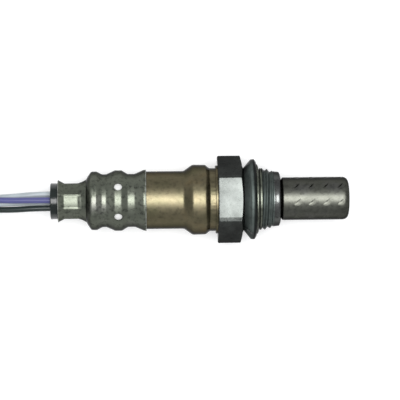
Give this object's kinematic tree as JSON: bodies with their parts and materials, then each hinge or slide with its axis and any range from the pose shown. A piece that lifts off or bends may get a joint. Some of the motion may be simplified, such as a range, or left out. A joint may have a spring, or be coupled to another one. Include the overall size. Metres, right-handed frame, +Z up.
{
  "type": "oxygen sensor",
  "caption": "Screw-in exhaust oxygen sensor with a hexagon housing, louvred protection tube, vented rear cover, leads, a coiled cable sleeve and a plug.",
  "frame": {"origin": "on the sensor's axis, at the face of the hexagon that the gasket seats on", "axes": "+X along the sensor's axis towards the probe tip, +Z up with one flat of the hexagon up and level; the sensor lies on its side"},
  "size_m": [0.1784, 0.064, 0.0297],
  "materials": {
    "housing_steel": "satin",
    "gasket_steel": "satin",
    "tip_steel": "satin",
    "cover_steel": "satin",
    "vent_steel": "satin",
    "inner_steel": "satin",
    "zirconia": "satin",
    "ceramic": "matte",
    "powder": "matte",
    "ptfe": "matte",
    "grommet_rubber": "matte",
    "lead_grey": "satin",
    "lead_blue": "satin",
    "lead_black": "satin",
    "terminal_metal": "satin",
    "sleeve_rubber": "satin",
    "tie_plastic": "matte",
    "connector_plastic": "satin",
    "lock_plastic": "satin"
  },
  "bodies": {
    "root": {"housing": "housing_steel", "gasket": "gasket_steel", "outer_tip_cover": "tip_steel", "inner_tip_cover": "inner_steel", "sensing_element": "zirconia", "heater_rod": "ceramic", "packing_ring": "inner_steel", "talc_ring": "powder", "ceramic_bush": "ceramic", "retainer_ring": "inner_steel", "rear_cover": "cover_steel", "vent_cover": "vent_steel", "filter_sleeve": "ptfe", "separator": "ceramic", "spring_ring": "inner_steel", "grommet": "grommet_rubber", "inner_contact": "terminal_metal", "outer_contact": "terminal_metal", "terminal_ground": "terminal_metal", "terminal_heater_a": "terminal_metal", "terminal_heater_b": "terminal_metal", "terminal_signal": "terminal_metal", "lead_ground": "lead_blue", "lead_heater_a": "lead_grey", "lead_heater_b": "lead_grey", "lead_signal": "lead_black", "cable_sleeve_in": "sleeve_rubber", "cable_sleeve_out": "sleeve_rubber", "cable_coil": "sleeve_rubber", "coil_tie": "tie_plastic", "cable_seal": "grommet_rubber", "connector_shell": "connector_plastic", "lock_plate": "lock_plastic", "connector_pins": "terminal_metal"}
  },
  "joints": []
}
